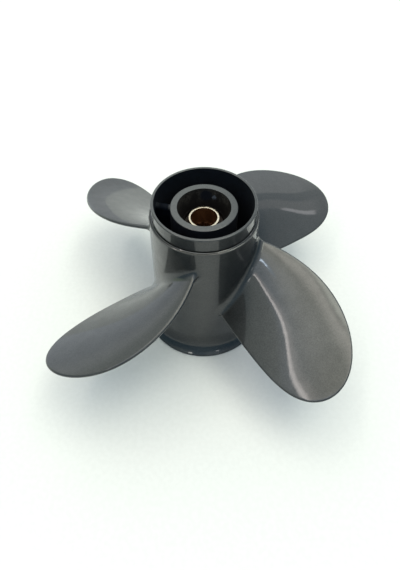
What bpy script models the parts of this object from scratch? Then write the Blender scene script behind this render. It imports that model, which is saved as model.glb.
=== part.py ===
"""Four-bladed propeller of an outboard motor, with the exhaust passing through its hub.

Metres, +Z up. It stands on its flared aft ring. The origin is on the shaft axis in the plane of
that ring's resting face, and +Z points forward, to the gearcase. The turning direction is right
hand: seen from aft the blades turn clockwise, so each blade's leading edge is the one that lies
counter-clockwise in a view from +Z. A gap parts each member from its neighbour.
"""

import math

import bmesh
import bpy
from mathutils import Matrix, Vector

GAP = 0.0003
TURNED_STEPS = 72

# Heights along the shaft, from the aft ring's resting face.
OVERALL_LENGTH = 0.1460
FRONT_FACE_Z = 0.1404
SLEEVE_FRONT_Z = 0.1290
CONE_BACK_Z = 0.1250
BUSH_FRONT_Z = 0.1208
SHOULDER_Z = 0.1344
FLARE_TOP_Z = 0.0220
INNER_HUB_AFT_Z = 0.0240
SLEEVE_AFT_Z = 0.0380
BUSH_AFT_Z = 0.0400

# Outer shell: a collar at the front with a groove at its foot, a rounded shoulder, and a barrel
# that widens aft.
COLLAR_RADIUS = 0.0420
COLLAR_BORE_RADIUS = 0.0396
RIM_OUTER_ROUND = 0.0009
RIM_INNER_ROUND = 0.0004
GROOVE_DEPTH = 0.0004
GROOVE_HEIGHT = 0.0008
SHOULDER_ROUND = 0.0010
BARREL_FRONT_RADIUS = 0.0444
BARREL_AFT_RADIUS = 0.0463
SHELL_BORE_AFT_RADIUS = 0.0413

# Flared ring at the aft end.
LIP_ROUND = 0.0016
LIP_RADIUS = 0.0554
RESTING_FACE_WIDTH = 0.0022
BORE_FLARE_SHARE = 0.6
FLARE_STEPS = 7

# Inner hub, with a cone at its front that takes the thrust washer and a lip that holds the bush.
INNER_HUB_FRONT_RADIUS = 0.0270
INNER_HUB_AFT_RADIUS = 0.0280
INNER_HUB_ROUND = 0.0008
THRUST_CONE_FRONT_RADIUS = 0.0214
THRUST_CONE_BACK_RADIUS = 0.0167
HUB_BORE_RADIUS = 0.0205

# Ribs that carry the shell on the inner hub. One reaches further forward than the others.
RIB_AZIMUTH = math.radians(-12.5)
RIB_FRONT_Z = (0.1150, 0.1150, 0.1372, 0.1150)
RIB_COUNT = len(RIB_FRONT_Z)
RIB_AFT_Z = 0.0270
RIB_THICKNESS = 0.0060
RIB_END_LENGTH = 0.0020
RIB_END_WIDTH = 0.0030
RIB_FILLET = 0.0012

# Splined sleeve and the rubber bush round it.
SLEEVE_RADIUS = 0.0125
SLEEVE_END_BORE_RADIUS = 0.0108
SPLINE_COUNT = 13
SPLINE_TIP_RADIUS = 0.0093
SPLINE_ROOT_RADIUS = 0.0106
SPLINE_SLOT_WIDTH = 0.0025
SPLINE_CUTTER_SPARE = 0.0015
SLEEVE_END_BORE_DEPTH = 0.0160
SLEEVE_STEPS = 52
BUSH_DISH = 0.0008

# Blades. x runs from 0 at ROOT_RADIUS to 1 at the tip.
BLADE_COUNT = 4
BLADE_AZIMUTH = math.radians(-40.3)
ROOT_RADIUS = 0.0440
TIP_RADIUS = 0.1590
ROOT_CHORD = 0.0737
CHORD_GROWTH = 0.0502
CHORD_FALL = 0.0268
TIP_POWER = 3.52
SKEW = (0.039, -0.311, 0.107)
ROOT_HEIGHT = 0.0829
RAKE = (-0.0042, -0.0340, 0.0202)
ROOT_PITCH = 0.2930
PITCH_GROWTH = 0.0700
ROOT_THICKNESS = 0.0086
TIP_THICKNESS = 0.0032
RIPPLE_HEIGHT = -0.00028
RIPPLE_LENGTH = 0.0710
RIPPLE_PEAK_RADIUS = 0.0725
EDGE_THICKNESS = 0.0017
TIP_THINNING = 8
CAMBER = 0.020
FULL_FORWARD = 0.60
ROOT_FILLET = 0.0062
EDGE_FILLET_SHARE = 1.0
EDGE_FILLET_POWER = 10
ROOT_SINK = 0.0015
FILLET_STEPS = 5
SPAN_STEPS = 16
CHORD_STEPS = 16


def clear_scene():
    for old in list(bpy.data.objects):
        bpy.data.objects.remove(old, do_unlink=True)


def material(name, colour, roughness, metallic):
    made = bpy.data.materials.new(name)
    made.use_nodes = True
    shader = made.node_tree.nodes["Principled BSDF"]
    shader.inputs["Base Color"].default_value = (*colour, 1.0)
    shader.inputs["Roughness"].default_value = roughness
    shader.inputs["Metallic"].default_value = metallic
    return made


def add_object(name, bm, finish):
    """Turn a bmesh into a smooth-shaded object with its faces pointing out."""
    bmesh.ops.recalc_face_normals(bm, faces=bm.faces)
    mesh = bpy.data.meshes.new(name)
    bm.to_mesh(mesh)
    bm.free()
    mesh.shade_smooth()
    mesh.set_sharp_from_angle(angle=math.radians(35))
    mesh.materials.append(finish)
    made = bpy.data.objects.new(name, mesh)
    bpy.context.collection.objects.link(made)
    return made


def hide_cutter(cutter):
    cutter.hide_render = True
    cutter.display_type = "WIRE"


def cut(target, cutter):
    boolean = target.modifiers.new("cut_" + cutter.name, "BOOLEAN")
    boolean.operation = "DIFFERENCE"
    boolean.object = cutter


def arc(centre_r, centre_z, radius, start, end, steps):
    """Points of an arc in the (radius, height) half plane, with its angles in degrees."""
    angles = [math.radians(start + (end - start) * i / steps) for i in range(steps + 1)]
    return [(centre_r + radius * math.cos(a), centre_z + radius * math.sin(a)) for a in angles]


def turned(name, profile, finish, steps=TURNED_STEPS):
    """Spin a closed profile of (radius, height) points about Z into a ring."""
    bm = bmesh.new()
    points = [bm.verts.new((r, 0.0, z)) for r, z in profile]
    edges = [bm.edges.new((points[i - 1], points[i])) for i in range(len(points))]
    bmesh.ops.spin(
        bm,
        geom=points + edges,
        cent=(0, 0, 0),
        axis=(0, 0, 1),
        angle=2 * math.pi,
        steps=steps,
        use_merge=True,
    )
    bmesh.ops.remove_doubles(bm, verts=bm.verts, dist=1e-6)
    return add_object(name, bm, finish)


def between(z, aft_z, aft_radius, front_z, front_radius):
    """Radius at height z of a wall that tapers in a straight line."""
    return aft_radius + (front_radius - aft_radius) * (z - aft_z) / (front_z - aft_z)


def barrel_radius(z):
    return between(z, FLARE_TOP_Z, BARREL_AFT_RADIUS, SHOULDER_Z, BARREL_FRONT_RADIUS)


def shell_bore_radius(z):
    return between(z, FLARE_TOP_Z, SHELL_BORE_AFT_RADIUS, OVERALL_LENGTH, COLLAR_BORE_RADIUS)


def inner_hub_radius(z):
    return between(z, INNER_HUB_AFT_Z, INNER_HUB_AFT_RADIUS, FRONT_FACE_Z, INNER_HUB_FRONT_RADIUS)


def make_hub_shell(paint):
    """Collar, shoulder and barrel in one wall, down to the flared ring."""
    foot = FLARE_TOP_Z + GAP
    profile = arc(
        COLLAR_BORE_RADIUS + RIM_INNER_ROUND,
        OVERALL_LENGTH - RIM_INNER_ROUND,
        RIM_INNER_ROUND, 180, 90, 2,
    )
    profile += arc(
        COLLAR_RADIUS - RIM_OUTER_ROUND,
        OVERALL_LENGTH - RIM_OUTER_ROUND,
        RIM_OUTER_ROUND, 90, 0, 3,
    )
    profile += [
        (COLLAR_RADIUS, SHOULDER_Z + GROOVE_HEIGHT),
        (COLLAR_RADIUS - GROOVE_DEPTH, SHOULDER_Z + GROOVE_HEIGHT),
        (COLLAR_RADIUS - GROOVE_DEPTH, SHOULDER_Z),
    ]
    profile += arc(
        BARREL_FRONT_RADIUS - SHOULDER_ROUND,
        SHOULDER_Z - SHOULDER_ROUND,
        SHOULDER_ROUND, 90, 0, 4,
    )
    profile += [(barrel_radius(foot), foot), (shell_bore_radius(foot), foot)]
    return turned("hub_shell", profile, paint)


def flare_arc():
    """Centre radius, arc radius and angle of the sweep that ends tangent to the lip's round."""
    lip_centre = LIP_RADIUS - LIP_ROUND
    reach = lip_centre - BARREL_AFT_RADIUS
    drop = FLARE_TOP_Z - LIP_ROUND
    sweep = (reach**2 + drop**2 - LIP_ROUND**2) / (2 * (reach + LIP_ROUND))
    angle = math.degrees(math.asin(drop / (sweep + LIP_ROUND)))
    return BARREL_AFT_RADIUS + sweep, sweep, angle


def make_diffuser_ring(paint):
    """Flared aft ring: a concave sweep outside, a rounded lip, and a flat face to stand on."""
    centre_r, sweep, angle = flare_arc()
    lip_centre = LIP_RADIUS - LIP_ROUND
    wall = BARREL_AFT_RADIUS - SHELL_BORE_AFT_RADIUS
    profile = arc(centre_r, FLARE_TOP_Z, sweep, 180, 180 + angle, FLARE_STEPS)
    profile += arc(lip_centre, LIP_ROUND, LIP_ROUND, angle, -90, 5)[1:]
    inner_foot = (lip_centre - RESTING_FACE_WIDTH, 0.0)
    bore_angle = angle * BORE_FLARE_SHARE
    profile += [inner_foot]
    profile += arc(centre_r, FLARE_TOP_Z, sweep + wall, 180 + bore_angle, 180, 4)
    return turned("diffuser_ring", profile, paint)


def make_inner_hub(paint):
    """Thick tube with a thrust cone and a lip at the front, and one bore aft of the lip."""
    front_round = INNER_HUB_ROUND
    profile = arc(
        INNER_HUB_FRONT_RADIUS - front_round, FRONT_FACE_Z - front_round, front_round, 90, 0, 2
    )
    profile += [
        (INNER_HUB_AFT_RADIUS, INNER_HUB_AFT_Z),
        (HUB_BORE_RADIUS, INNER_HUB_AFT_Z),
        (HUB_BORE_RADIUS, BUSH_FRONT_Z + GAP),
        (THRUST_CONE_BACK_RADIUS, BUSH_FRONT_Z + GAP),
        (THRUST_CONE_BACK_RADIUS, CONE_BACK_Z),
        (THRUST_CONE_FRONT_RADIUS, FRONT_FACE_Z),
    ]
    return turned("inner_hub", profile, paint)


def make_rubber_bush(rubber):
    """Bonded cushion between the inner hub's bore and the sleeve."""
    inner = SLEEVE_RADIUS + GAP
    outer = HUB_BORE_RADIUS - GAP
    middle = (inner + outer) / 2
    profile = [
        (outer, BUSH_FRONT_Z),
        (outer, BUSH_AFT_Z),
        (middle, BUSH_AFT_Z + BUSH_DISH),
        (inner, BUSH_AFT_Z),
        (inner, BUSH_FRONT_Z),
        (middle, BUSH_FRONT_Z - BUSH_DISH),
    ]
    return turned("rubber_bush", profile, rubber, SLEEVE_STEPS)


def make_spline_cutter():
    """Boxes that cut the slots between the splines, one for each slot."""
    bm = bmesh.new()
    low_r = SPLINE_TIP_RADIUS - SPLINE_CUTTER_SPARE
    length = SLEEVE_FRONT_Z - SLEEVE_AFT_Z + 2 * SPLINE_CUTTER_SPARE
    size = Matrix.Diagonal((SPLINE_ROOT_RADIUS - low_r, SPLINE_SLOT_WIDTH, length, 1))
    middle = Vector(((SPLINE_ROOT_RADIUS + low_r) / 2, 0, (SLEEVE_FRONT_Z + SLEEVE_AFT_Z) / 2))
    for i in range(SPLINE_COUNT):
        turn = Matrix.Rotation(2 * math.pi * i / SPLINE_COUNT, 4, "Z")
        bmesh.ops.create_cube(bm, size=1.0, matrix=turn @ Matrix.Translation(middle) @ size)
    cutter = add_object("spline_cutter", bm, None)
    hide_cutter(cutter)
    return cutter


def make_spline_sleeve(brass):
    """Sleeve on the shaft: plain at both ends, splined between them."""
    front_step = SLEEVE_FRONT_Z - SLEEVE_END_BORE_DEPTH
    aft_step = SLEEVE_AFT_Z + SLEEVE_END_BORE_DEPTH
    profile = [
        (SLEEVE_RADIUS, SLEEVE_FRONT_Z),
        (SLEEVE_RADIUS, SLEEVE_AFT_Z),
        (SLEEVE_END_BORE_RADIUS, SLEEVE_AFT_Z),
        (SLEEVE_END_BORE_RADIUS, aft_step),
        (SPLINE_TIP_RADIUS, aft_step),
        (SPLINE_TIP_RADIUS, front_step),
        (SLEEVE_END_BORE_RADIUS, front_step),
        (SLEEVE_END_BORE_RADIUS, SLEEVE_FRONT_Z),
    ]
    sleeve = turned("spline_sleeve", profile, brass, SLEEVE_STEPS)
    cut(sleeve, make_spline_cutter())
    return sleeve


def rib_point(front_z, out, level, across):
    """Point of a rib along +X: out runs from the inner hub to the shell, level from foot to top."""
    near = inner_hub_radius(front_z) + GAP
    far = shell_bore_radius(front_z) - GAP
    from_wall = min(out, 1 - out) * (far - near)
    rise = max(RIB_FILLET - from_wall, 0.0)
    top = front_z - math.sqrt(RIB_FILLET**2 - rise**2)
    heights = (RIB_AFT_Z, RIB_AFT_Z + RIB_END_LENGTH, top - RIB_END_LENGTH, top)
    widths = (RIB_END_WIDTH, RIB_THICKNESS, RIB_THICKNESS, RIB_END_WIDTH)
    z = heights[level]
    y = across * widths[level]
    radius = (inner_hub_radius(z) + GAP) * (1 - out) + (shell_bore_radius(z) - GAP) * out
    return math.sqrt(radius**2 - y**2), y, z


def make_rib_mesh(front_z):
    """One rib whose top rises to meet the walls, as the skin of a block of points."""
    outs = (0.0, 0.12, 0.28, 0.5, 0.72, 0.88, 1.0)
    levels = (0, 1, 2, 3)
    acrosses = (-0.5, -0.25, 0.0, 0.25, 0.5)
    last = (len(outs) - 1, len(levels) - 1, len(acrosses) - 1)
    bm = bmesh.new()
    made = {}

    def corner(key):
        if key not in made:
            i, j, k = key
            made[key] = bm.verts.new(rib_point(front_z, outs[i], levels[j], acrosses[k]))
        return made[key]

    for fixed in range(3):
        first, second = [axis for axis in range(3) if axis != fixed]
        for side in (0, last[fixed]):
            for a in range(last[first]):
                for b in range(last[second]):
                    face = []
                    for da, db in ((0, 0), (1, 0), (1, 1), (0, 1)):
                        key = [side, side, side]
                        key[first] = a + da
                        key[second] = b + db
                        face.append(corner(tuple(key)))
                    bm.faces.new(face)
    return bm


def make_ribs(paint):
    for i, front_z in enumerate(RIB_FRONT_Z):
        rib = add_object(f"rib_{i + 1}", make_rib_mesh(front_z), paint)
        rib.rotation_euler.z = RIB_AZIMUTH + 2 * math.pi * i / RIB_COUNT


def blade_law(x):
    """Half chord, skew angle, height and pitch angle of the blade's section at x."""
    inside = min(max(x, 0.0), 1.0)
    chord = ROOT_CHORD + CHORD_GROWTH * x - CHORD_FALL * x**2
    chord *= math.sqrt(1 - inside**TIP_POWER)
    skew = SKEW[0] * x + SKEW[1] * x**2 + SKEW[2] * x**3
    radius = ROOT_RADIUS + x * (TIP_RADIUS - ROOT_RADIUS)
    ripple = RIPPLE_HEIGHT * math.cos(2 * math.pi * (radius - RIPPLE_PEAK_RADIUS) / RIPPLE_LENGTH)
    height = ROOT_HEIGHT + RAKE[0] * x + RAKE[1] * x**2 + RAKE[2] * x**3 + ripple
    pitch_angle = math.atan2(ROOT_PITCH + PITCH_GROWTH * x, 2 * math.pi * radius)
    return chord / 2, skew, height, pitch_angle


def edge_distance(x, along):
    """Distance from a point of the section to the blade's outline, close to that outline."""
    step = 0.001
    span = TIP_RADIUS - ROOT_RADIUS
    half = blade_law(x)[0]
    slope = (half - blade_law(x - step)[0]) / (step * span)
    gradient = math.hypot(half * slope, along)
    return (half**2 - along**2) / max(2 * gradient, 1e-9)


def fullness(x, u):
    """Share of the section's full height at u. Near the root it is fuller toward the leading edge."""
    return (1 - u**2) * (1 + FULL_FORWARD * (1 - x) * u)


def half_thickness(x, u, along):
    """Half the blade's thickness, with a round edge all the way about."""
    edge = EDGE_THICKNESS / 2
    middle = (ROOT_THICKNESS + (TIP_THICKNESS - ROOT_THICKNESS) * x) / 2
    full = edge + (middle - edge) * fullness(x, u) * (1 - min(max(x, 0.0), 1.0) ** TIP_THINNING)
    inset = min(edge_distance(x, along) / edge, 1.0)
    return full * math.sqrt(max(1 - (1 - inset) ** 2, 0.0))


def blade_point(off_barrel, swell, u, side):
    """Point of the blade's skin, wrapped on a cylinder about the shaft.

    swell is what the root fillet adds to the section here. u is 1 at the leading edge and -1 at the
    trailing edge, and side is 1 on the forward face and -1 on the aft face.
    """
    x = off_barrel / (TIP_RADIUS - ROOT_RADIUS)
    half, skew, height, pitch_angle = blade_law(x)
    rise = math.sin(pitch_angle)
    run = math.cos(pitch_angle)
    along = u * half
    offset = side * (half_thickness(x, u, along) + swell * math.sqrt(1 - u**EDGE_FILLET_POWER))
    offset += CAMBER * 2 * half * fullness(x, u)
    along += u * swell * EDGE_FILLET_SHARE
    z = height + along * rise + offset * run
    radius = ROOT_RADIUS + off_barrel + (barrel_radius(z) - ROOT_RADIUS) * (1 - x)
    angle = skew + (along * run - offset * rise) / radius
    return Vector((radius * math.cos(angle), radius * math.sin(angle), z))


def blade_stations():
    """Distances off the barrel and the fillet's swell there, from inside the wall to the tip."""
    span = TIP_RADIUS - ROOT_RADIUS
    stations = [(-ROOT_SINK, ROOT_FILLET)]
    for i in range(FILLET_STEPS + 1):
        lean = math.pi / 2 * (1 - i / FILLET_STEPS)
        stations.append((ROOT_FILLET * (1 - math.sin(lean)), ROOT_FILLET * (1 - math.cos(lean))))
    start = math.asin(ROOT_FILLET / span)
    for i in range(1, SPAN_STEPS):
        stations.append((span * math.sin(start + (math.pi / 2 - start) * i / SPAN_STEPS), 0.0))
    return stations


def make_blade_mesh():
    """Loft the blade through its sections, from inside the barrel's wall to the tip."""
    angles = [math.pi * i / CHORD_STEPS for i in range(CHORD_STEPS + 1)]
    ring = [(math.cos(a), 1) for a in angles] + [(math.cos(a), -1) for a in angles[-2:0:-1]]
    bm = bmesh.new()
    rows = []
    for off_barrel, swell in blade_stations():
        rows.append([bm.verts.new(blade_point(off_barrel, swell, u, side)) for u, side in ring])
    tip = bm.verts.new(blade_point(TIP_RADIUS - ROOT_RADIUS, 0.0, 0.0, 0))
    for low, high in zip(rows, rows[1:]):
        for i in range(len(ring)):
            j = (i + 1) % len(ring)
            bm.faces.new((low[i], low[j], high[j], high[i]))
    for i in range(len(ring)):
        bm.faces.new((rows[-1][i], rows[-1][(i + 1) % len(ring)], tip))
    bm.faces.new(rows[0])
    return bm


def make_root_cutter():
    """The barrel's outer surface with the gap added, as a solid cone."""
    low_z = FLARE_TOP_Z
    high_z = SHOULDER_Z
    bm = bmesh.new()
    bmesh.ops.create_cone(
        bm,
        cap_ends=True,
        segments=TURNED_STEPS,
        radius1=barrel_radius(low_z) + GAP,
        radius2=barrel_radius(high_z) + GAP,
        depth=high_z - low_z,
        matrix=Matrix.Translation((0, 0, (low_z + high_z) / 2)),
    )
    cutter = add_object("root_cutter", bm, None)
    hide_cutter(cutter)
    return cutter


def make_blades(paint):
    cutter = make_root_cutter()
    for i in range(BLADE_COUNT):
        blade = add_object(f"blade_{i + 1}", make_blade_mesh(), paint)
        blade.rotation_euler.z = BLADE_AZIMUTH + 2 * math.pi * i / BLADE_COUNT
        cut(blade, cutter)


def main():
    clear_scene()
    paint = material("grey_metallic_paint", (0.130, 0.135, 0.140), 0.35, 0.60)
    rubber = material("black_rubber", (0.020, 0.018, 0.015), 0.75, 0.0)
    brass = material("brass", (0.560, 0.450, 0.270), 0.30, 1.0)
    make_hub_shell(paint)
    make_diffuser_ring(paint)
    make_inner_hub(paint)
    make_ribs(paint)
    make_rubber_bush(rubber)
    make_spline_sleeve(brass)
    make_blades(paint)


main()
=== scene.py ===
import math

import bmesh
import bpy
from mathutils import Matrix, Vector


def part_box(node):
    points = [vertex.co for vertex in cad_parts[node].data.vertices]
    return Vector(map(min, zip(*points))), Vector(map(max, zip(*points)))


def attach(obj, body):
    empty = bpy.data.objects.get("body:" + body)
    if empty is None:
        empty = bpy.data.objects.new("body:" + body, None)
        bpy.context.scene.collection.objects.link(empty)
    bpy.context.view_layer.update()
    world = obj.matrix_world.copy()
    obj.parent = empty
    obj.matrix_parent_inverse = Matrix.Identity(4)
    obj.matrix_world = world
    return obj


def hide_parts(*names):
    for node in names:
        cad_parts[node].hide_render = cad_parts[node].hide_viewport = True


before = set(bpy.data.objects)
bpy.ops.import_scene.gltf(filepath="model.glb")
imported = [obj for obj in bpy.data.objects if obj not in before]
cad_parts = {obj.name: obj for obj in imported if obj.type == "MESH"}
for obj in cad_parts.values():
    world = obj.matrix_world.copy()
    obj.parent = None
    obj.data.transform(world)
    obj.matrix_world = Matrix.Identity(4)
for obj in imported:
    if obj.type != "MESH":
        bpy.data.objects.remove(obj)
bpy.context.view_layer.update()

# Camera, worked out from the hub's rings and the blades' outlines. Lens and sensor are in millimetres.
CAMERA_PLACE = Vector((0.0, -0.2853, 0.4101))
CAMERA_DOWN = math.radians(52.42)
CAMERA_YAW = math.radians(-0.72)
CAMERA_ROLL = math.radians(-0.36)
CAMERA_LENS = 31.13
CAMERA_SENSOR_WIDTH = 36.0
CAMERA_CLIP_START = 0.01

# The frame's boxes give the heights along the shaft and the outermost radii.
SHELL_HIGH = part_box("hub_shell")[1]
RING_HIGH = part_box("diffuser_ring")[1]
HUB_LOW, HUB_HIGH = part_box("inner_hub")
SLEEVE_LOW, SLEEVE_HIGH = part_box("spline_sleeve")
BUSH_LOW, BUSH_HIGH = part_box("rubber_bush")
FLARE_TOP_Z = RING_HIGH.z

# Outer shell and flared ring. The ledge is the shoulder behind the collar.
TURNED_STEPS = 288
COLLAR_RADIUS = 0.0420
COLLAR_BORE_RADIUS = 0.0396
RIM_OUTER_ROUND = 0.0009
RIM_INNER_ROUND = 0.0004
SHOULDER_Z = 0.1331
GROOVE_DEPTH = 0.0008
GROOVE_HEIGHT = 0.0014
GROOVE_SINK = 0.0008
LEDGE_RADIUS = 0.0422
LEDGE_SLOPES = (0.60, 0.35)
LEDGE_SEAM_RADIUS = 0.0431
LEDGE_SEAM_HALF_WIDTH = 0.00025
LEDGE_SEAM_DEPTH = 0.0008
SHOULDER_ROUND = 0.0010
BARREL_FRONT_RADIUS = 0.0444
BARREL_AFT_RADIUS = 0.0463
SHELL_BORE_AFT_RADIUS = 0.0413
LIP_ROUND = 0.0016
LIP_RADIUS = RING_HIGH.x
RESTING_FACE_WIDTH = 0.0022
BORE_FLARE_SHARE = 0.6
RIM_INNER_STEPS = 5
RIM_OUTER_STEPS = 8
FLARE_STEPS = 40
BORE_FLARE_STEPS = 24
LIP_STEPS = 12

# Inner hub, ribs, bush and sleeve.
INNER_HUB_FRONT_RADIUS = 0.0270
INNER_HUB_AFT_RADIUS = HUB_HIGH.x
INNER_HUB_ROUND = 0.0008
INNER_HUB_ROUND_STEPS = 8
THRUST_CONE_FRONT_RADIUS = 0.0214
THRUST_CONE_BACK_RADIUS = 0.0167
CONE_BACK_Z = 0.1250
CONE_EDGE_ROUND = 0.0003
CONE_EDGE_STEPS = 4
CONE_BACK_ROUND = 0.0004
CONE_BACK_STEPS = 6
CONE_BACK_END_DEGREES = 105
HUB_BORE_RADIUS = 0.0205
LIP_BACK_Z = 0.1211
RIB_COUNT = 4
RIB_AZIMUTH = math.radians(-12.5)
RIB_THICKNESS = 0.0060
RIB_FILLET = 0.0012
RIB_SINK = 0.00012
RIB_STEPS = 48
RIB_ROUND_STEPS = 10
BUSH_DISH = 0.0008
BUSH_STEPS = 12
SLEEVE_RADIUS = SLEEVE_HIGH.x
SLEEVE_END_BORE_RADIUS = 0.0108
SLEEVE_EDGE_ROUND = 0.00025
SLEEVE_EDGE_STEPS = 4
SLEEVE_END_BORE_DEPTH = 0.0160
SPLINE_COUNT = 13
SPLINE_TIP_RADIUS = 0.0093
SPLINE_ROOT_RADIUS = 0.0106
SPLINE_SLOT_SHARE = 0.50
SPLINE_FLANK_SHARE = 0.09
STEPS_PER_SPLINE = 24

# Blades. x runs from 0 at ROOT_RADIUS to 1 at the tip. SKEW, in radians, and RAKE, in metres, hold the
# factors of x, x squared and x cubed. BLADE_AZIMUTH and the values from TIP_RADIUS to PITCH_GROWTH come
# from the same fit as the camera, rounded or shifted a little.
BLADE_COUNT = 4
BLADE_AZIMUTH = math.radians(-40.3)
ROOT_RADIUS = 0.0440
TIP_RADIUS = 0.15898
BLADE_SPAN = TIP_RADIUS - ROOT_RADIUS
ROOT_CHORD = 0.0737
CHORD_GROWTH = 0.0502
CHORD_FALL = 0.0268
TIP_POWER = 3.52
SKEW = (0.039, -0.311, 0.107)
ROOT_HEIGHT = 0.0829
RAKE = (-0.0042, -0.0340, 0.0202)
ROOT_PITCH = 0.2930
PITCH_GROWTH = 0.0700
ROOT_THICKNESS = 0.0086
TIP_THICKNESS = 0.0032
RIPPLE_HEIGHT = -0.00028
RIPPLE_LENGTH = 0.0710
RIPPLE_PEAK_RADIUS = 0.0725
TIP_THINNING = 8
EDGE_THICKNESS = 0.0027
CAMBER = 0.020
FULL_FORWARD = 0.60
ROOT_FILLET = 0.0062
EDGE_FILLET_SHARE = 1.0
EDGE_FILLET_POWER = 10
FILLET_STEPS = 18
SPAN_STEPS = 72
CHORD_STEPS = 64
ROOT_SKIRT = 0.0010
ROOT_SKIRT_SINK = 0.00012
ROOT_SINK = 0.0012
OUTLINE_STEP = 0.001
LEAST_GRADIENT = 1e-9

# Edges that turn by more than this are sharp.
SHARP_DEGREES = 40
BLADE_SHARP_DEGREES = 60

# Materials. Sizes are in metres. A span holds the two levels of a noise between which a ramp rises.
NOISE_SPAN = (0.30, 0.70)
CLOUD_SPAN = (0.35, 0.65)
NOISE_DETAIL = 2.0
SOFT_DETAIL = 1.0
STAIN_DETAIL = 3.0
GRAIN_DETAIL = 4.0
GRAINS_PER_CLOUD = 9
PLAIN_GLOSS = 0.5
FLAKE_SIZE = 0.0007
FLAKE_SHARE = 0.45
FLAKE_TILT = 2.0e-5
CLOUD_SIZE = 0.030
PEEL_SIZE = 0.0035
PEEL_DEPTH = 1.2e-5
PAINT_TONES = ((0.033, 0.035, 0.036), (0.064, 0.066, 0.067))
PAINT_ROUGHNESS = (0.46, 0.54)
COAT_ROUGHNESS = 0.03
COAT_IOR = 1.40

PASSAGE_TONES = ((0.0015, 0.0025, 0.0050), (0.004, 0.006, 0.011))
PASSAGE_GRAIN = 0.0006
PASSAGE_ROUGHNESS = (0.6, 0.8)
PASSAGE_DEPTH = 3.0e-5
PASSAGE_GLOSS = 0.25
RIB_GLOSS = 0.05
# Painted light on the ribs: a grey at their ends near the passage mouth that fades out deeper in, where the
# passage is in shade.
RIB_PAINTED_LIGHT_COLOUR = (0.075, 0.079, 0.084)
RIB_PAINTED_LIGHT_HUB_RADII = (0.0298, 0.0272)
RIB_PAINTED_LIGHT_SHELL_RADII = (0.0355, 0.0380)
RIB_PAINTED_LIGHT_SHELL_SHARE = 0.12
RIB_PAINTED_LIGHT_Z = (0.1325, 0.1358)

CONE_TONES = ((0.006, 0.005, 0.005), (0.055, 0.050, 0.043))
CONE_GRAIN = 0.0009
CONE_ROUGHNESS = (0.45, 0.60)
CONE_DEPTH = 2.0e-5
CONE_GLOSS = 0.25
CONE_METALLIC = 0.5
# Heights over which the cone's painted shade fades out toward its front.
CONE_SHADE_Z = (0.1265, 0.1395)
DARK_PATCH_PLACE = (0.0015, 0.0195, 0.1345)
DARK_PATCH_RADIUS = 0.0065
DARK_PATCH_COLOUR = (0.004, 0.005, 0.009)
PALE_PATCH_PLACE = (0.0078, 0.0172, 0.1345)
PALE_PATCH_RADIUS = 0.0034
PALE_PATCH_SPAN = (0.50, 0.60)
PALE_PATCH_COLOUR = (0.075, 0.085, 0.105)

RUBBER_TONES = ((0.008, 0.004, 0.003), (0.022, 0.013, 0.010))
RUBBER_GRAIN = 0.0005
RUBBER_ROUGHNESS = (0.55, 0.75)
RUBBER_DEPTH = 3.0e-5

TURNING_PITCH = 0.0005
TURNING_SHARE = 0.15
STAIN_SIZE = 0.004
BRASS_TONES = ((0.42, 0.36, 0.28), (0.56, 0.50, 0.41))
BRASS_ROUGHNESS = (0.22, 0.34)
BRASS_METALLIC = 1.0
# The splined bore is drawn dark brown: painted shade deep inside the brass sleeve.
BORE_SHADE_TONES = ((0.045, 0.014, 0.003), (0.085, 0.028, 0.006))
BORE_ROUGHNESS = (0.50, 0.65)
BORE_METALLIC = 0.3

FLOOR_HALF_WIDTH = 6.0
FLOOR_TONES = ((0.61, 0.62, 0.61), (0.63, 0.64, 0.63))
FLOOR_GRAIN = 0.004
FLOOR_ROUGHNESS = 0.9

# Room light by direction: a dim bluish room with a ceiling in four fields and a paler middle overhead,
# pale walls behind the part and to its left, and lamps: a narrow bar to the right, a long one on the
# ceiling that leans and has a dimmer border, and two broad ones. Each part of the room has a colour and
# limits on some of these measures of a direction:
#   "height": how far it rises;
#   "bearing": its angle in degrees from straight behind toward the right;
#   "across" and "along": its place on a ceiling at height 1, to the right and away from the camera;
#   "slant": "across" as the leaning lamp has it.
# A part starts at the first limit, is full between the middle two and ends at the last. None leaves a
# side open. The camera itself sees a plain backdrop. ROOM_DIM and the colours of the first ten rows and of
# the last two come from a least squares fit of the paint's reflections, rounded or shifted a little. The
# other colours were set one by one.
ROOM_DIM = (0.06, 0.19, 0.30)
BACKDROP = (1.0, 1.0, 1.0)
STRIP_LEAN = 0.28
LEAST_HEIGHT = 0.05
CEILING_HEIGHT = (0.25, 0.60, None, None)
CEILING_LEFT = (None, None, -0.75, -0.55)
CEILING_MIDDLE = (-0.75, -0.55, 0.00, 0.20)
CEILING_RIGHT = (0.00, 0.20, None, None)
CEILING_NEAR = (-1.40, -1.10, -0.40, -0.10)
CEILING_FAR = (0.10, 0.50, None, None)
STRIP_ALONG = (-1.00, -0.88, 0.40, 0.60)
WALL_HEIGHT = (-0.20, -0.10, 0.25, 0.45)
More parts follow.
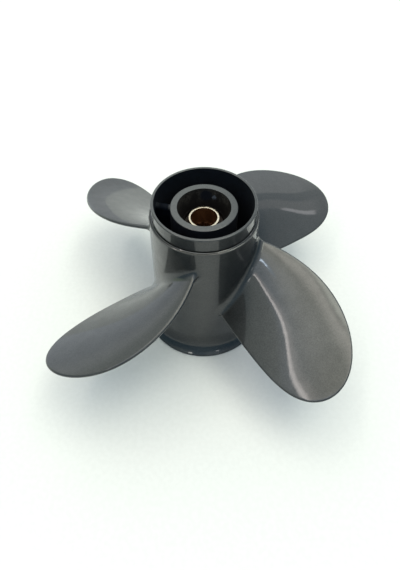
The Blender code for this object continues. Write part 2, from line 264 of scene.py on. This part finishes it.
ROOM_PARTS = (
    ((0.86, 0.83, 0.66), {"across": CEILING_LEFT, "height": CEILING_HEIGHT}),
    ((1.36, 1.43, 1.53), {"across": CEILING_MIDDLE, "height": CEILING_HEIGHT, "along": CEILING_NEAR}),
    ((1.95, 1.98, 1.80), {"across": CEILING_MIDDLE, "height": CEILING_HEIGHT, "along": CEILING_FAR}),
    ((0.73, 0.71, 0.68), {"across": CEILING_RIGHT, "height": CEILING_HEIGHT}),
    ((1.62, 1.45, 1.03), {"height": (0.80, 0.97, None, None)}),
    ((0.80, 0.86, 0.48), {"bearing": (-90, -80, -62, -55), "height": WALL_HEIGHT}),
    ((1.14, 1.12, 1.12), {"bearing": (-62, -55, -25, -12), "height": (-0.20, -0.10, 0.40, 0.60)}),
    ((0.66, 0.58, 0.50), {"bearing": (-25, -12, 15, 30), "height": (-0.20, -0.10, 0.15, 0.55)}),
    ((0.88, 0.85, 0.79), {"bearing": (15, 30, 53, 55), "height": (-0.20, -0.10, 0.55, 0.75)}),
    ((0.60, 0.54, 0.50), {"bearing": (60, 63, 69, 73), "height": (0.40, 0.48, 0.62, 0.70)}),
    ((3.10, 3.00, 3.10), {"bearing": (68.5, 69.8, 71.2, 72.5), "height": (0.57, 0.585, 0.625, 0.65)}),
    ((7.00, 6.50, 6.20), {"slant": (-0.480, -0.450, -0.435, -0.385), "along": STRIP_ALONG}),
    ((2.50, 2.20, 2.00), {"slant": (-0.460, -0.440, -0.420, -0.280), "along": STRIP_ALONG}),
    ((2.60, 2.40, 2.20), {"across": (0.00, 0.22, 0.22, 0.31), "along": (-0.25, -0.15, 0.15, 0.60)}),
    ((4.40, 4.60, 4.00), {"across": (0.26, 0.34, 0.50, 0.60), "along": (-0.60, -0.40, 0.30, 0.50)}),
)
# Each spot: the direction, the half angles of its core and of its edge in degrees, and its colour.
SPOTS = (
    ((-0.14, -0.55, 1.0), 0.7, 1.8, (11.0, 13.0, 15.5)),
    ((-0.14, -0.53, 1.0), 1.0, 4.0, (0.4, 0.8, 1.3)),
    ((-0.64, -1.54, 1.0), 1.5, 4.0, (9.0, 9.0, 8.5)),
    ((0.96, -2.18, 1.0), 1.5, 3.5, (5.0, 5.0, 5.0)),
)

# Sockets of a Mix node that mixes colours: share, first colour, second colour, and the mixed colour.
MIX_INPUTS = (0, 6, 7)
MIX_OUTPUT = 2


def add_node(tree, kind, *sources, **settings):
    """Add a node, set its properties, and feed its inputs in order from sockets or constants."""
    node = tree.nodes.new(kind)
    for key, value in settings.items():
        setattr(node, key, value)
    for socket, source in zip(node.inputs, sources):
        if isinstance(source, bpy.types.NodeSocket):
            tree.links.new(source, socket)
        elif source is not None:
            socket.default_value = source
    return node


def math_of(tree, operation, *values):
    return add_node(tree, "ShaderNodeMath", *values, operation=operation).outputs["Value"]


def ramp_of(tree, value, low, high, start=0.0, end=1.0):
    """Smooth step of a value from one level to another between two limits."""
    node = add_node(tree, "ShaderNodeMapRange", value, low, high, start, end)
    node.interpolation_type = "SMOOTHSTEP"
    return node.outputs["Result"]


def noise_of(tree, place, size, detail=NOISE_DETAIL):
    """Noise about 0.5 whose clumps measure this many metres."""
    node = tree.nodes.new("ShaderNodeTexNoise")
    tree.links.new(place, node.inputs["Vector"])
    node.inputs["Scale"].default_value = 1 / size
    node.inputs["Detail"].default_value = detail
    return node.outputs["Fac"]


def mix_of(tree, share, first, second):
    """Colour between two colours. Either may be a socket or a plain colour."""
    node = tree.nodes.new("ShaderNodeMix")
    node.data_type = "RGBA"
    for index, source in zip(MIX_INPUTS, (share, first, second)):
        socket = node.inputs[index]
        if isinstance(source, bpy.types.NodeSocket):
            tree.links.new(source, socket)
        else:
            socket.default_value = (*source, 1.0)
    return node.outputs[MIX_OUTPUT]


def bump_of(tree, height, depth):
    node = tree.nodes.new("ShaderNodeBump")
    node.inputs["Strength"].default_value = 1.0
    node.inputs["Distance"].default_value = depth
    tree.links.new(height, node.inputs["Height"])
    return node.outputs["Normal"]


def make_material(name, metallic):
    """A material with its shader, node tree and the place on the part in metres."""
    made = bpy.data.materials.new(name)
    made.use_nodes = True
    tree = made.node_tree
    shader = tree.nodes["Principled BSDF"]
    shader.inputs["Metallic"].default_value = metallic
    place = tree.nodes.new("ShaderNodeTexCoord").outputs["Object"]
    return made, shader, tree, place


def make_paint():
    """Dark grey metallic paint: small flakes under a clear coat with a faint orange peel."""
    made, shader, tree, place = make_material("metallic_paint", 1.0)
    flake = add_node(tree, "ShaderNodeTexVoronoi", place)
    flake.inputs["Scale"].default_value = 1 / FLAKE_SIZE
    level = add_node(tree, "ShaderNodeSeparateColor", flake.outputs["Color"]).outputs["Red"]
    cloud = noise_of(tree, place, CLOUD_SIZE)
    flakes = math_of(tree, "MULTIPLY", level, FLAKE_SHARE)
    clouds = math_of(tree, "MULTIPLY", cloud, 1 - FLAKE_SHARE)
    tone = math_of(tree, "ADD", flakes, clouds)
    tree.links.new(mix_of(tree, tone, *PAINT_TONES), shader.inputs["Base Color"])
    rough = ramp_of(tree, noise_of(tree, place, CLOUD_SIZE / 3), *NOISE_SPAN, *PAINT_ROUGHNESS)
    tree.links.new(rough, shader.inputs["Roughness"])
    peel = noise_of(tree, place, PEEL_SIZE, detail=SOFT_DETAIL)
    tree.links.new(bump_of(tree, peel, PEEL_DEPTH), shader.inputs["Coat Normal"])
    tree.links.new(bump_of(tree, level, FLAKE_TILT), shader.inputs["Normal"])
    shader.inputs["Coat Weight"].default_value = 1.0
    shader.inputs["Coat Roughness"].default_value = COAT_ROUGHNESS
    shader.inputs["Coat IOR"].default_value = COAT_IOR
    return made


def make_cast_material(name, tones, grain, roughness, depth, gloss=PLAIN_GLOSS):
    """Rough surface whose tone and height follow grains of one size, with larger clouds over them."""
    made, shader, tree, place = make_material(name, 0.0)
    shader.inputs["Specular IOR Level"].default_value = gloss
    fine = noise_of(tree, place, grain, detail=GRAIN_DETAIL)
    cloud = ramp_of(tree, noise_of(tree, place, grain * GRAINS_PER_CLOUD), *CLOUD_SPAN)
    tone = math_of(tree, "MULTIPLY", cloud, ramp_of(tree, fine, *NOISE_SPAN))
    tree.links.new(mix_of(tree, tone, *tones), shader.inputs["Base Color"])
    tree.links.new(ramp_of(tree, fine, *NOISE_SPAN, *roughness), shader.inputs["Roughness"])
    tree.links.new(bump_of(tree, fine, depth), shader.inputs["Normal"])
    return made, shader, tree, place


def radius_of(tree, place):
    """Distance from the shaft, and the height."""
    x, y, z = add_node(tree, "ShaderNodeSeparateXYZ", place).outputs
    squares = math_of(tree, "ADD", math_of(tree, "MULTIPLY", x, x), math_of(tree, "MULTIPLY", y, y))
    return math_of(tree, "SQRT", squares), z


def make_black_rib_with_painted_light():
    """Black inside of the passage, with a little grey painted light at the ribs' ends near its mouth, which
    fades out deeper in where the passage is in shade.
    """
    made, shader, tree, place = make_cast_material(
        "black_rib_painted_light", PASSAGE_TONES, PASSAGE_GRAIN, PASSAGE_ROUGHNESS, PASSAGE_DEPTH, RIB_GLOSS)
    radius, height = radius_of(tree, place)
    # Painted light: grey where the ribs meet the inner hub, fainter where they meet the shell, and fading out
    # below the mouth.
    hub_end = ramp_of(tree, radius, *RIB_PAINTED_LIGHT_HUB_RADII)
    shell_end = ramp_of(tree, radius, *RIB_PAINTED_LIGHT_SHELL_RADII, 0.0, RIB_PAINTED_LIGHT_SHELL_SHARE)
    share = math_of(tree, "MAXIMUM", hub_end, shell_end)
    share = math_of(tree, "MULTIPLY", share, ramp_of(tree, height, *RIB_PAINTED_LIGHT_Z))
    plain = shader.inputs["Base Color"].links[0].from_socket
    tree.links.new(mix_of(tree, share, plain, RIB_PAINTED_LIGHT_COLOUR), shader.inputs["Base Color"])
    return made


def make_cone():
    """Dark cone with painted shade that darkens it toward its back, deep in the recess, and a dark patch and
    a pale patch on its far side.
    """
    made, shader, tree, place = make_cast_material(
        "machined_cone", CONE_TONES, CONE_GRAIN, CONE_ROUGHNESS, CONE_DEPTH, CONE_GLOSS)
    shader.inputs["Metallic"].default_value = CONE_METALLIC
    plain = shader.inputs["Base Color"].links[0].from_socket
    height = add_node(tree, "ShaderNodeSeparateXYZ", place).outputs["Z"]
    # Painted shade: the cone goes to its darkest tone toward its back, deep in the recess.
    colour = mix_of(tree, ramp_of(tree, height, *CONE_SHADE_Z), CONE_TONES[0], plain)
    off = add_node(tree, "ShaderNodeVectorMath", place, DARK_PATCH_PLACE, operation="DISTANCE").outputs["Value"]
    colour = mix_of(tree, ramp_of(tree, off, DARK_PATCH_RADIUS, DARK_PATCH_RADIUS / 2), colour, DARK_PATCH_COLOUR)
    off = add_node(tree, "ShaderNodeVectorMath", place, PALE_PATCH_PLACE, operation="DISTANCE").outputs["Value"]
    patch = ramp_of(tree, off, PALE_PATCH_RADIUS, PALE_PATCH_RADIUS / 2)
    streaks = ramp_of(tree, noise_of(tree, place, PALE_PATCH_RADIUS / 2, detail=SOFT_DETAIL), *PALE_PATCH_SPAN)
    pale_share = math_of(tree, "MULTIPLY", patch, streaks)
    tree.links.new(mix_of(tree, pale_share, colour, PALE_PATCH_COLOUR), shader.inputs["Base Color"])
    return made


def make_brass(name, tones, roughness, metallic):
    """Machined metal with fine turning marks round the shaft."""
    made, shader, tree, place = make_material(name, metallic)
    radius, height = radius_of(tree, place)
    path = math_of(tree, "ADD", radius, height)
    marks = math_of(tree, "SINE", math_of(tree, "MULTIPLY", path, 2 * math.pi / TURNING_PITCH))
    stain = ramp_of(tree, noise_of(tree, place, STAIN_SIZE, detail=STAIN_DETAIL), *CLOUD_SPAN)
    tone = math_of(tree, "ADD", stain, math_of(tree, "MULTIPLY", marks, TURNING_SHARE))
    tree.links.new(mix_of(tree, tone, *tones), shader.inputs["Base Color"])
    tree.links.new(ramp_of(tree, stain, 0.0, 1.0, *roughness), shader.inputs["Roughness"])
    return made


PAINT = make_paint()
BLACK = make_cast_material(
    "passage_black", PASSAGE_TONES, PASSAGE_GRAIN, PASSAGE_ROUGHNESS, PASSAGE_DEPTH, PASSAGE_GLOSS)[0]
BLACK_RIB_PAINTED_LIGHT = make_black_rib_with_painted_light()
CONE = make_cone()
RUBBER = make_cast_material("bush_rubber", RUBBER_TONES, RUBBER_GRAIN, RUBBER_ROUGHNESS, RUBBER_DEPTH)[0]
BRASS = make_brass("sleeve_brass", BRASS_TONES, BRASS_ROUGHNESS, BRASS_METALLIC)
BORE = make_brass("splined_bore_shade", BORE_SHADE_TONES, BORE_ROUGHNESS, BORE_METALLIC)


def add_piece(name, bm, materials, slot, *nodes, sharp_degrees=SHARP_DEGREES):
    """Put a bmesh in the scene as a piece that stands for the named nodes."""
    bmesh.ops.recalc_face_normals(bm, faces=bm.faces)
    mesh = bpy.data.meshes.new(name)
    bm.to_mesh(mesh)
    bm.free()
    mesh.shade_smooth()
    mesh.set_sharp_from_angle(angle=math.radians(sharp_degrees))
    for finish in materials:
        mesh.materials.append(finish)
    piece = bpy.data.objects.new(name, mesh)
    bpy.context.scene.collection.objects.link(piece)
    even = piece.modifiers.new("even_shading", "WEIGHTED_NORMAL")
    even.keep_sharp = True
    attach(piece, "root")
    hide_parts(*nodes)


def arc(centre_r, centre_z, radius, start, end, steps):
    """Points of an arc in the (radius, height) half plane, with its angles in degrees."""
    angles = [math.radians(start + (end - start) * i / steps) for i in range(steps + 1)]
    return [(centre_r + radius * math.cos(a), centre_z + radius * math.sin(a)) for a in angles]


def ring_of_rows(rows, close):
    """Skin rows of points into a surface. Each row is a closed loop; close joins the last to the first."""
    bm = bmesh.new()
    loops = [[bm.verts.new(point) for point in row] for row in rows]
    pairs = list(zip(loops, loops[1:]))
    if close:
        pairs.append((loops[-1], loops[0]))
    for low, high in pairs:
        for i in range(len(low)):
            j = (i + 1) % len(low)
            bm.faces.new((low[i], low[j], high[j], high[i]))
    return bm, loops


def circle_row(radius, z, steps):
    turns = [2 * math.pi * i / steps for i in range(steps)]
    return [(radius * math.cos(a), radius * math.sin(a), z) for a in turns]


def turned(profile):
    """Turn a closed profile of (radius, height) points about Z into a ring."""
    return ring_of_rows([circle_row(r, z, TURNED_STEPS) for r, z in profile], close=True)[0]


def between(z, aft_z, aft_radius, front_z, front_radius):
    """Radius at height z of a wall that tapers in a straight line."""
    return aft_radius + (front_radius - aft_radius) * (z - aft_z) / (front_z - aft_z)


def barrel_radius(z):
    return between(z, FLARE_TOP_Z, BARREL_AFT_RADIUS, SHOULDER_Z, BARREL_FRONT_RADIUS)


def shell_bore_radius(z):
    return between(z, FLARE_TOP_Z, SHELL_BORE_AFT_RADIUS, SHELL_HIGH.z, COLLAR_BORE_RADIUS)


def inner_hub_radius(z):
    return between(z, HUB_LOW.z, INNER_HUB_AFT_RADIUS, HUB_HIGH.z, INNER_HUB_FRONT_RADIUS)


def flare_arc():
    """Centre radius, arc radius and angle of the sweep that ends tangent to the lip's round."""
    reach = LIP_RADIUS - LIP_ROUND - BARREL_AFT_RADIUS
    drop = FLARE_TOP_Z - LIP_ROUND
    sweep = (reach**2 + drop**2 - LIP_ROUND**2) / (2 * (reach + LIP_ROUND))
    angle = math.degrees(math.asin(drop / (sweep + LIP_ROUND)))
    return BARREL_AFT_RADIUS + sweep, sweep, angle


def ledge():
    """Profile of the shoulder: two ridges with a narrow seam between them, then a bevel to the barrel."""
    inner, outer = LEDGE_SLOPES
    low_r = LEDGE_SEAM_RADIUS - LEDGE_SEAM_HALF_WIDTH
    high_r = LEDGE_SEAM_RADIUS + LEDGE_SEAM_HALF_WIDTH
    end_r = BARREL_FRONT_RADIUS - SHOULDER_ROUND / 2
    seam_z = SHOULDER_Z - inner * (low_r - LEDGE_RADIUS)
    end_z = seam_z - outer * (end_r - high_r)
    return [
        (LEDGE_RADIUS, SHOULDER_Z), (low_r, seam_z), (LEDGE_SEAM_RADIUS, seam_z - LEDGE_SEAM_DEPTH),
        (high_r, seam_z), (end_r, end_z), (BARREL_FRONT_RADIUS, end_z - SHOULDER_ROUND),
    ]


def shell_outside():
    """Profile from the rim's inner edge over the collar, the shoulder and the flare to the lip."""
    rim_z = SHELL_HIGH.z
    centre_r, sweep, angle = flare_arc()
    inner, outer = RIM_INNER_ROUND, RIM_OUTER_ROUND
    profile = arc(COLLAR_BORE_RADIUS + inner, rim_z - inner, inner, 180, 90, RIM_INNER_STEPS)
    profile += arc(COLLAR_RADIUS - outer, rim_z - outer, outer, 90, 0, RIM_OUTER_STEPS)
    groove_r = COLLAR_RADIUS - GROOVE_DEPTH
    groove_top = SHOULDER_Z + GROOVE_HEIGHT
    profile += [(COLLAR_RADIUS, groove_top), (groove_r, groove_top), (groove_r, SHOULDER_Z - GROOVE_SINK)]
    profile += ledge()
    profile += arc(centre_r, FLARE_TOP_Z, sweep, 180, 180 + angle, FLARE_STEPS)
    profile += arc(LIP_RADIUS - LIP_ROUND, LIP_ROUND, LIP_ROUND, angle, -90, LIP_STEPS)[1:]
    return profile


def shell_inside():
    """Profile from the resting face up the flare's bore to the collar's bore."""
    centre_r, sweep, angle = flare_arc()
    wall = BARREL_AFT_RADIUS - SHELL_BORE_AFT_RADIUS
    foot = (LIP_RADIUS - LIP_ROUND - RESTING_FACE_WIDTH, 0.0)
    start = 180 + angle * BORE_FLARE_SHARE
    return [foot] + arc(centre_r, FLARE_TOP_Z, sweep + wall, start, 180, BORE_FLARE_STEPS)


def make_cast_hub():
    bm = turned(shell_outside() + shell_inside())
    for face in bm.faces:
        middle = face.calc_center_median()
        radius = math.hypot(middle.x, middle.y)
        if middle.z > FLARE_TOP_Z and radius < shell_bore_radius(middle.z) + RIM_INNER_ROUND / 4:
            face.material_index = 1
    add_piece("cast_hub", bm, (PAINT, BLACK), "paint", "hub_shell", "diffuser_ring")


def make_cast_inner_hub():
    """Thick tube with the cone for the thrust washer and one bore behind the lip."""
    face_z = HUB_HIGH.z
    outer, back, edge = INNER_HUB_ROUND, CONE_BACK_ROUND, CONE_EDGE_ROUND
    profile = arc(INNER_HUB_FRONT_RADIUS - outer, face_z - outer, outer, 90, 0, INNER_HUB_ROUND_STEPS)
    profile += [
        (INNER_HUB_AFT_RADIUS, HUB_LOW.z),
        (HUB_BORE_RADIUS, HUB_LOW.z),
        (HUB_BORE_RADIUS, LIP_BACK_Z),
        (THRUST_CONE_BACK_RADIUS, LIP_BACK_Z),
    ]
    back_r = THRUST_CONE_BACK_RADIUS + back
    profile += arc(back_r, CONE_BACK_Z - back, back, 180, CONE_BACK_END_DEGREES, CONE_BACK_STEPS)
    profile += arc(THRUST_CONE_FRONT_RADIUS + edge, face_z - edge, edge, 180, 90, CONE_EDGE_STEPS)
    bm = turned(profile)
    for face in bm.faces:
        middle = face.calc_center_median()
        radius = math.hypot(middle.x, middle.y)
        if radius > INNER_HUB_FRONT_RADIUS - INNER_HUB_ROUND / 4:
            face.material_index = 1
        elif radius < THRUST_CONE_FRONT_RADIUS and middle.z > HUB_LOW.z:
            face.material_index = 2
    add_piece("cast_inner_hub", bm, (PAINT, BLACK, CONE), "paint", "inner_hub")


def rib_section(x, low_z, top_z, width):
    """Upright section of a rib at distance x from the shaft, with a round top and a round foot."""
    half = width / 2
    turns = [math.pi * i / RIB_ROUND_STEPS for i in range(RIB_ROUND_STEPS + 1)]
    top = [(x, half * math.cos(a), top_z - half + half * math.sin(a)) for a in turns]
    foot = [(x, -half * math.cos(a), low_z + half - half * math.sin(a)) for a in turns]
    return top + foot


def make_rib(low_z, front_z):
    """Rib along +X, whose top and sides swell where they meet the walls."""
    near = inner_hub_radius(front_z) - RIB_SINK
    far = shell_bore_radius(front_z) + RIB_SINK
    rows = []
    for i in range(RIB_STEPS + 1):
        x = near + (far - near) * i / RIB_STEPS
        rise = max(RIB_FILLET - min(x - near, far - x), 0.0)
        swell = RIB_FILLET - math.sqrt(RIB_FILLET**2 - rise**2)
        rows.append(rib_section(x, low_z, front_z - RIB_FILLET + swell, RIB_THICKNESS + swell))
    bm, loops = ring_of_rows(rows, close=False)
    bm.faces.new(loops[0])
    bm.faces.new(loops[-1])
    return bm


def make_cast_ribs():
    for i in range(RIB_COUNT):
        low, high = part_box(f"rib_{i + 1}")
        rib = make_rib(low.z, high.z)
        turn = Matrix.Rotation(RIB_AZIMUTH + 2 * math.pi * i / RIB_COUNT, 4, "Z")
        bmesh.ops.transform(rib, matrix=turn, verts=rib.verts)
        add_piece(f"cast_rib_{i + 1}", rib, (BLACK_RIB_PAINTED_LIGHT,), "paint", f"rib_{i + 1}")


def make_bush():
    """Rubber cushion, dished at both ends where it was pressed in."""
    front = []
    back = []
    for i in range(BUSH_STEPS + 1):
        share = i / BUSH_STEPS
        radius = SLEEVE_RADIUS + (HUB_BORE_RADIUS - SLEEVE_RADIUS) * share
        dish = BUSH_DISH * (1 - (2 * share - 1) ** 2)
        front.append((radius, BUSH_HIGH.z - dish))
        back.append((radius, BUSH_LOW.z + dish))
    profile = front + back[::-1]
    add_piece("bonded_bush", turned(profile), (RUBBER,), "rubber", "rubber_bush")


def spline_radius(turn):
    """Radius of the splined bore at this angle: slots at the root radius between flat tips."""
    share = (turn * SPLINE_COUNT / (2 * math.pi)) % 1.0
    off = abs(share - 0.5) * 2
    blend = min(max((SPLINE_SLOT_SHARE - off) / SPLINE_FLANK_SHARE + 0.5, 0.0), 1.0)
    return SPLINE_TIP_RADIUS + (SPLINE_ROOT_RADIUS - SPLINE_TIP_RADIUS) * blend


def make_sleeve():
    """Sleeve on the shaft: plain bores at both ends, splines between them."""
    steps = SPLINE_COUNT * STEPS_PER_SPLINE
    low = SLEEVE_LOW.z
    high = SLEEVE_HIGH.z
    edge = SLEEVE_EDGE_ROUND
    splined = []
    for i in range(steps):
        turn = 2 * math.pi * i / steps
        splined.append((math.cos(turn) * spline_radius(turn), math.sin(turn) * spline_radius(turn)))
    outside = arc(SLEEVE_RADIUS - edge, high - edge, edge, 90, 0, SLEEVE_EDGE_STEPS)
    outside += arc(SLEEVE_RADIUS - edge, low + edge, edge, 0, -90, SLEEVE_EDGE_STEPS)
    outside += arc(SLEEVE_END_BORE_RADIUS + edge, low + edge, edge, 270, 180, SLEEVE_EDGE_STEPS)
    outside += [(SLEEVE_END_BORE_RADIUS, low + SLEEVE_END_BORE_DEPTH)]
    front = [(SLEEVE_END_BORE_RADIUS, high - SLEEVE_END_BORE_DEPTH)]
    front += arc(SLEEVE_END_BORE_RADIUS + edge, high - edge, edge, 180, 90, SLEEVE_EDGE_STEPS)
    rows = [circle_row(r, z, steps) for r, z in outside]
    rows += [[(x, y, low + SLEEVE_END_BORE_DEPTH) for x, y in splined]]
    rows += [[(x, y, high - SLEEVE_END_BORE_DEPTH) for x, y in splined]]
    rows += [circle_row(r, z, steps) for r, z in front]
    bm = ring_of_rows(rows, close=True)[0]
    # The bore's faces get the dark brown of the painted shade.
    for face in bm.faces:
        middle = face.calc_center_median()
        radius = math.hypot(middle.x, middle.y)
        if radius < SLEEVE_END_BORE_RADIUS + edge / 4 and low + edge < middle.z < high - edge:
            face.material_index = 1
    add_piece("brass_sleeve", bm, (BRASS, BORE), "brass", "spline_sleeve")


def blade_law(x):
    """Half chord, skew angle, height and pitch angle of the blade's section at x."""
    inside = min(max(x, 0.0), 1.0)
    chord = ROOT_CHORD + CHORD_GROWTH * x - CHORD_FALL * x**2
    chord *= math.sqrt(1 - inside**TIP_POWER)
    skew = SKEW[0] * x + SKEW[1] * x**2 + SKEW[2] * x**3
    radius = ROOT_RADIUS + x * BLADE_SPAN
    ripple = RIPPLE_HEIGHT * math.cos(2 * math.pi * (radius - RIPPLE_PEAK_RADIUS) / RIPPLE_LENGTH)
    height = ROOT_HEIGHT + RAKE[0] * x + RAKE[1] * x**2 + RAKE[2] * x**3 + ripple
    pitch_angle = math.atan2(ROOT_PITCH + PITCH_GROWTH * x, 2 * math.pi * radius)
    return chord / 2, skew, height, pitch_angle


def edge_distance(x, along):
    """Distance from a point of the section to the blade's outline, close to that outline."""
    half = blade_law(x)[0]
    slope = (half - blade_law(x - OUTLINE_STEP)[0]) / (OUTLINE_STEP * BLADE_SPAN)
    gradient = math.hypot(half * slope, along)
    return (half**2 - along**2) / max(2 * gradient, LEAST_GRADIENT)


def fullness(x, u):
    """Share of the section's full height at u. Near the root it is fuller toward the leading edge."""
    return (1 - u**2) * (1 + FULL_FORWARD * (1 - x) * u)


def half_thickness(x, u, along):
    """Half the blade's thickness, with a round edge all the way about."""
    edge = EDGE_THICKNESS / 2
    middle = (ROOT_THICKNESS + (TIP_THICKNESS - ROOT_THICKNESS) * x) / 2
    full = edge + (middle - edge) * fullness(x, u) * (1 - min(max(x, 0.0), 1.0) ** TIP_THINNING)
    inset = min(edge_distance(x, along) / edge, 1.0)
    return full * math.sqrt(max(1 - (1 - inset) ** 2, 0.0))


def blade_point(off_barrel, swell, u, side):
    """Point of the blade's skin on a cylinder about the shaft. u is 1 at the leading edge."""
    x = off_barrel / BLADE_SPAN
    half, skew, height, pitch_angle = blade_law(x)
    rise = math.sin(pitch_angle)
    run = math.cos(pitch_angle)
    along = u * half
    offset = side * (half_thickness(x, u, along) + swell * math.sqrt(1 - u**EDGE_FILLET_POWER))
    offset += CAMBER * 2 * half * fullness(x, u)
    along += u * swell * EDGE_FILLET_SHARE
    z = height + along * rise + offset * run
    radius = ROOT_RADIUS + off_barrel + (barrel_radius(z) - ROOT_RADIUS) * (1 - x)
    angle = skew + (along * run - offset * rise) / radius
    return Vector((radius * math.cos(angle), radius * math.sin(angle), z))


def blade_stations():
    """Distances off the barrel and the fillet's swell there, from inside the wall to the tip."""
    skirt = ROOT_FILLET + ROOT_SKIRT
    stations = [(-ROOT_SINK, skirt), (-ROOT_SKIRT_SINK, skirt)]
    for i in range(FILLET_STEPS + 1):
        lean = math.pi / 2 * (1 - i / FILLET_STEPS)
        stations.append((ROOT_FILLET * (1 - math.sin(lean)), ROOT_FILLET * (1 - math.cos(lean))))
    start = math.asin(ROOT_FILLET / BLADE_SPAN)
    for i in range(1, SPAN_STEPS):
        stations.append((BLADE_SPAN * math.sin(start + (math.pi / 2 - start) * i / SPAN_STEPS), 0.0))
    return stations


def make_blade():
    angles = [math.pi * i / CHORD_STEPS for i in range(CHORD_STEPS + 1)]
    ring = [(math.cos(a), 1) for a in angles] + [(math.cos(a), -1) for a in angles[-2:0:-1]]
    rows = [[blade_point(off, swell, u, side) for u, side in ring] for off, swell in blade_stations()]
    bm, loops = ring_of_rows(rows, close=False)
    tip = bm.verts.new(blade_point(BLADE_SPAN, 0.0, 0.0, 0))
    last = loops[-1]
    for i in range(len(ring)):
        bm.faces.new((last[i], last[(i + 1) % len(ring)], tip))
    bm.faces.new(loops[0])
    return bm


def make_cast_blades():
    bm = make_blade()
    for i in range(BLADE_COUNT):
        blade = bm.copy()
        turn = Matrix.Rotation(BLADE_AZIMUTH + 2 * math.pi * i / BLADE_COUNT, 4, "Z")
        bmesh.ops.transform(blade, matrix=turn, verts=blade.verts)
        name = f"blade_{i + 1}"
        add_piece(f"cast_{name}", blade, (PAINT,), "paint", name, sharp_degrees=BLADE_SHARP_DEGREES)
    bm.free()


def make_floor():
    mesh = bpy.data.meshes.new("floor")
    bm = bmesh.new()
    bmesh.ops.create_grid(bm, x_segments=1, y_segments=1, size=FLOOR_HALF_WIDTH)
    bm.to_mesh(mesh)
    bm.free()
    floor = bpy.data.objects.new("floor", mesh)
    bpy.context.scene.collection.objects.link(floor)
    made, shader, tree, place = make_material("pale_floor", 0.0)
    mottle = ramp_of(tree, noise_of(tree, place, FLOOR_GRAIN), *NOISE_SPAN)
    tree.links.new(mix_of(tree, mottle, *FLOOR_TONES), shader.inputs["Base Color"])
    shader.inputs["Roughness"].default_value = FLOOR_ROUGHNESS
    mesh.materials.append(made)


def make_camera():
    data = bpy.data.cameras.new("camera")
    data.lens = CAMERA_LENS
    data.sensor_width = CAMERA_SENSOR_WIDTH
    data.clip_start = CAMERA_CLIP_START
    camera = bpy.data.objects.new("camera", data)
    bpy.context.scene.collection.objects.link(camera)
    forward = Vector((
        math.sin(CAMERA_YAW) * math.cos(CAMERA_DOWN),
        math.cos(CAMERA_YAW) * math.cos(CAMERA_DOWN),
        -math.sin(CAMERA_DOWN),
    ))
    right = Vector((math.cos(CAMERA_YAW), -math.sin(CAMERA_YAW), 0.0))
    up = right.cross(forward)
    level_right = right * math.cos(CAMERA_ROLL) + up * math.sin(CAMERA_ROLL)
    level_up = up * math.cos(CAMERA_ROLL) - right * math.sin(CAMERA_ROLL)
    turn = Matrix((level_right, level_up, -forward)).transposed()
    camera.matrix_world = Matrix.Translation(CAMERA_PLACE) @ turn.to_4x4()
    bpy.context.scene.camera = camera


def share_of(tree, value, limits):
    """Ramps for the closed sides of a range of four limits."""
    start, full, last_full, end = limits
    sides = []
    if start is not None:
        sides.append(ramp_of(tree, value, start, full))
    if end is not None:
        sides.append(ramp_of(tree, value, end, last_full))
    return sides


def make_world():
    """World light from the parts of the room, and the plain backdrop that the camera sees."""
    world = bpy.data.worlds.new("studio")
    bpy.context.scene.world = world
    world.use_nodes = True
    tree = world.node_tree
    direction = tree.nodes.new("ShaderNodeTexCoord").outputs["Generated"]
    x, y, z = add_node(tree, "ShaderNodeSeparateXYZ", direction).outputs
    level = math_of(tree, "MAXIMUM", z, LEAST_HEIGHT)
    measures = {
        "height": z,
        "bearing": math_of(tree, "DEGREES", math_of(tree, "ARCTAN2", x, y)),
        "across": math_of(tree, "DIVIDE", x, level),
        "along": math_of(tree, "DIVIDE", y, level),
    }
    lean = math_of(tree, "MULTIPLY", measures["along"], STRIP_LEAN)
    measures["slant"] = math_of(tree, "SUBTRACT", measures["across"], lean)
    parts = []
    for colour, ranges in ROOM_PARTS:
        sides = [side for name, limits in ranges.items() for side in share_of(tree, measures[name], limits)]
        share = sides[0]
        for side in sides[1:]:
            share = math_of(tree, "MULTIPLY", share, side)
        parts.append((share, colour))

    for place, core, edge, colour in SPOTS:
        aim = Vector(place).normalized()
        dot = add_node(tree, "ShaderNodeVectorMath", direction, aim, operation="DOT_PRODUCT").outputs["Value"]
        limits = [math.cos(math.radians(angle)) for angle in (edge, core)]
        parts.append((ramp_of(tree, dot, *limits), colour))

    total = ROOM_DIM
    for share, colour in parts:
        scaled = add_node(tree, "ShaderNodeVectorMath", colour, operation="SCALE")
        tree.links.new(share, scaled.inputs["Scale"])
        total = add_node(tree, "ShaderNodeVectorMath", total, scaled.outputs["Vector"], operation="ADD")
        total = total.outputs["Vector"]
    seen = tree.nodes.new("ShaderNodeLightPath").outputs["Is Camera Ray"]
    tree.links.new(mix_of(tree, seen, total, BACKDROP), tree.nodes["Background"].inputs["Color"])


bpy.context.scene.view_settings.view_transform = "Standard"
make_world()
make_cast_hub()
make_cast_inner_hub()
make_cast_ribs()
make_bush()
make_sleeve()
make_cast_blades()
make_floor()
make_camera()
